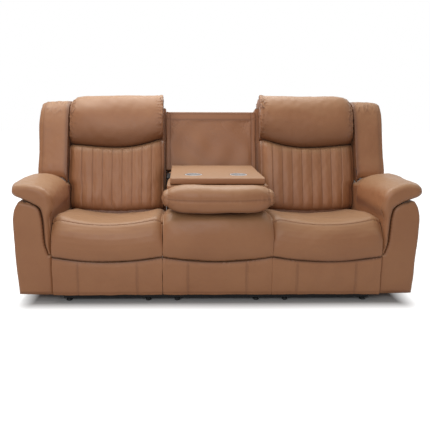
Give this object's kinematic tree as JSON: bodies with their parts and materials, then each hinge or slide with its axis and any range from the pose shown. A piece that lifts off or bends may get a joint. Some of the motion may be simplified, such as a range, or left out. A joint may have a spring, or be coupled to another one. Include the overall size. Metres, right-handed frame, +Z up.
{
  "type": "reclining sofa",
  "caption": "Leather reclining sofa with channelled backs, folding leg rests, rounded arms, and a centre back that drops forward as a table with cup holders.",
  "frame": {"origin": "centre of the footprint's bounding box, on the floor", "axes": "+Z up, -Y the way the sofa faces, +X to the right as seen from the front"},
  "size_m": [2.1158, 0.93, 1.055],
  "materials": {
    "leather": "semi-matt tan leather with a fine grain",
    "black_steel": "black powder coat",
    "zinc_steel": "zinc plated",
    "stainless_steel": "polished stainless steel",
    "plywood": "bare plywood",
    "black_plastic": "moulded, matt"
  },
  "bodies": {
    "frame": {"center_base_frame": "black_steel", "center_seat_frame": "black_steel", "center_spring_deck": "zinc_steel", "center_seat_cushion": "leather", "center_front_pad": "leather", "center_lower_panel": "leather", "center_front_board": "plywood", "center_rear_skirt": "leather", "center_back_frame": "plywood", "center_back_panel": "leather", "center_rear_cover": "leather", "left_hinge_bracket": "black_steel", "right_hinge_bracket": "black_steel", "left_base_frame": "black_steel", "left_arm_panel": "leather", "left_arm_pad": "leather", "left_release_cup": "black_plastic", "left_rear_skirt": "leather", "right_base_frame": "black_steel", "right_arm_panel": "leather", "right_arm_pad": "leather", "right_release_cup": "black_plastic", "right_rear_skirt": "leather"},
    "left_seat": {"left_seat_frame": "black_steel", "left_spring_deck": "zinc_steel", "left_seat_cushion": "leather"},
    "left_back": {"left_back_frame": "plywood", "left_lumbar_cushion": "leather", "left_headrest": "leather", "left_wing": "leather", "left_rear_cover": "leather"},
    "left_thigh_link": {"left_thigh_link": "zinc_steel"},
    "left_shin_link": {"left_shin_link": "zinc_steel"},
    "left_control_link": {"left_control_link": "zinc_steel"},
    "left_leg_rest": {"left_leg_rest_board": "plywood", "left_front_pad": "leather", "left_lower_panel": "leather"},
    "left_release": {"left_release_handle": "black_plastic"},
    "right_seat": {"right_seat_frame": "black_steel", "right_spring_deck": "zinc_steel", "right_seat_cushion": "leather"},
    "right_back": {"right_back_frame": "plywood", "right_lumbar_cushion": "leather", "right_headrest": "leather", "right_wing": "leather", "right_rear_cover": "leather"},
    "right_thigh_link": {"right_thigh_link": "zinc_steel"},
    "right_shin_link": {"right_shin_link": "zinc_steel"},
    "right_control_link": {"right_control_link": "zinc_steel"},
    "right_leg_rest": {"right_leg_rest_board": "plywood", "right_front_pad": "leather", "right_lower_panel": "leather"},
    "right_release": {"right_release_handle": "black_plastic"},
    "console": {"console_table": "leather", "console_cushion": "leather", "console_pillow": "leather", "left_cup_holder": "stainless_steel", "right_cup_holder": "stainless_steel", "left_hinge_arm": "black_steel", "right_hinge_arm": "black_steel"}
  },
  "joints": [
    {"name": "left_seat_slide", "type": "slide", "parent": "frame", "child": "left_seat", "axis": [0, -1, 0], "range_m": [0, 0.07]},
    {"name": "left_recline", "type": "hinge", "parent": "left_seat", "child": "left_back", "pos_m": [-0.563, 0.235, 0.33], "axis": [-1, 0, 0], "range_deg": [0, 30]},
    {"name": "left_thigh", "type": "hinge", "parent": "left_seat", "child": "left_thigh_link", "pos_m": [-0.563, -0.12, 0.2], "axis": [-1, 0, 0], "range_deg": [0, 76.17]},
    {"name": "left_shin", "type": "hinge", "parent": "left_thigh_link", "child": "left_shin_link", "pos_m": [-0.563, -0.129, 0.085], "axis": [1, 0, 0], "range_deg": [0, 104.4]},
    {"name": "left_foot", "type": "hinge", "parent": "left_shin_link", "child": "left_leg_rest", "pos_m": [-0.563, -0.314, 0.347], "axis": [-1, 0, 0], "range_deg": [0, 116.9]},
    {"name": "left_control", "type": "hinge", "parent": "left_seat", "child": "left_control_link", "pos_m": [-0.563, -0.0468, 0.2079], "axis": [-1, 0, 0], "range_deg": [0, 66.8]},
    {"name": "left_release", "type": "hinge", "parent": "frame", "child": "left_release", "pos_m": [-1.0348, -0.15, 0.352], "axis": [0, 0, 1], "range_deg": [0, 30], "stiffness_Nm_per_rad": 0.3},
    {"name": "right_seat_slide", "type": "slide", "parent": "frame", "child": "right_seat", "axis": [0, -1, 0], "range_m": [0, 0.07]},
    {"name": "right_recline", "type": "hinge", "parent": "right_seat", "child": "right_back", "pos_m": [0.563, 0.235, 0.33], "axis": [-1, 0, 0], "range_deg": [0, 30]},
    {"name": "right_thigh", "type": "hinge", "parent": "right_seat", "child": "right_thigh_link", "pos_m": [0.563, -0.12, 0.2], "axis": [-1, 0, 0], "range_deg": [0, 76.17]},
    {"name": "right_shin", "type": "hinge", "parent": "right_thigh_link", "child": "right_shin_link", "pos_m": [0.563, -0.129, 0.085], "axis": [1, 0, 0], "range_deg": [0, 104.4]},
    {"name": "right_foot", "type": "hinge", "parent": "right_shin_link", "child": "right_leg_rest", "pos_m": [0.563, -0.314, 0.347], "axis": [-1, 0, 0], "range_deg": [0, 116.9]},
    {"name": "right_control", "type": "hinge", "parent": "right_seat", "child": "right_control_link", "pos_m": [0.563, -0.0468, 0.2079], "axis": [-1, 0, 0], "range_deg": [0, 66.8]},
    {"name": "right_release", "type": "hinge", "parent": "frame", "child": "right_release", "pos_m": [1.0348, -0.15, 0.352], "axis": [0, 0, -1], "range_deg": [0, 30], "stiffness_Nm_per_rad": 0.3},
    {"name": "console_drop", "type": "hinge", "parent": "frame", "child": "console", "pos_m": [0, 0.085, 0.52], "axis": [-1, 0, 0], "range_deg": [0, 104.6]}
  ],
  "couplings": [
    {"joint": "left_seat_slide", "follows": "left_recline", "m_per_rad": 0.13356},
    {"joint": "left_shin", "follows": "left_thigh", "ratio": 1.3688},
    {"joint": "left_foot", "follows": "left_thigh", "ratio": 1.5333},
    {"joint": "left_control", "follows": "left_thigh", "ratio": 0.8757},
    {"joint": "right_seat_slide", "follows": "right_recline", "m_per_rad": 0.13356},
    {"joint": "right_shin", "follows": "right_thigh", "ratio": 1.3688},
    {"joint": "right_foot", "follows": "right_thigh", "ratio": 1.5333},
    {"joint": "right_control", "follows": "right_thigh", "ratio": 0.8757}
  ]
}
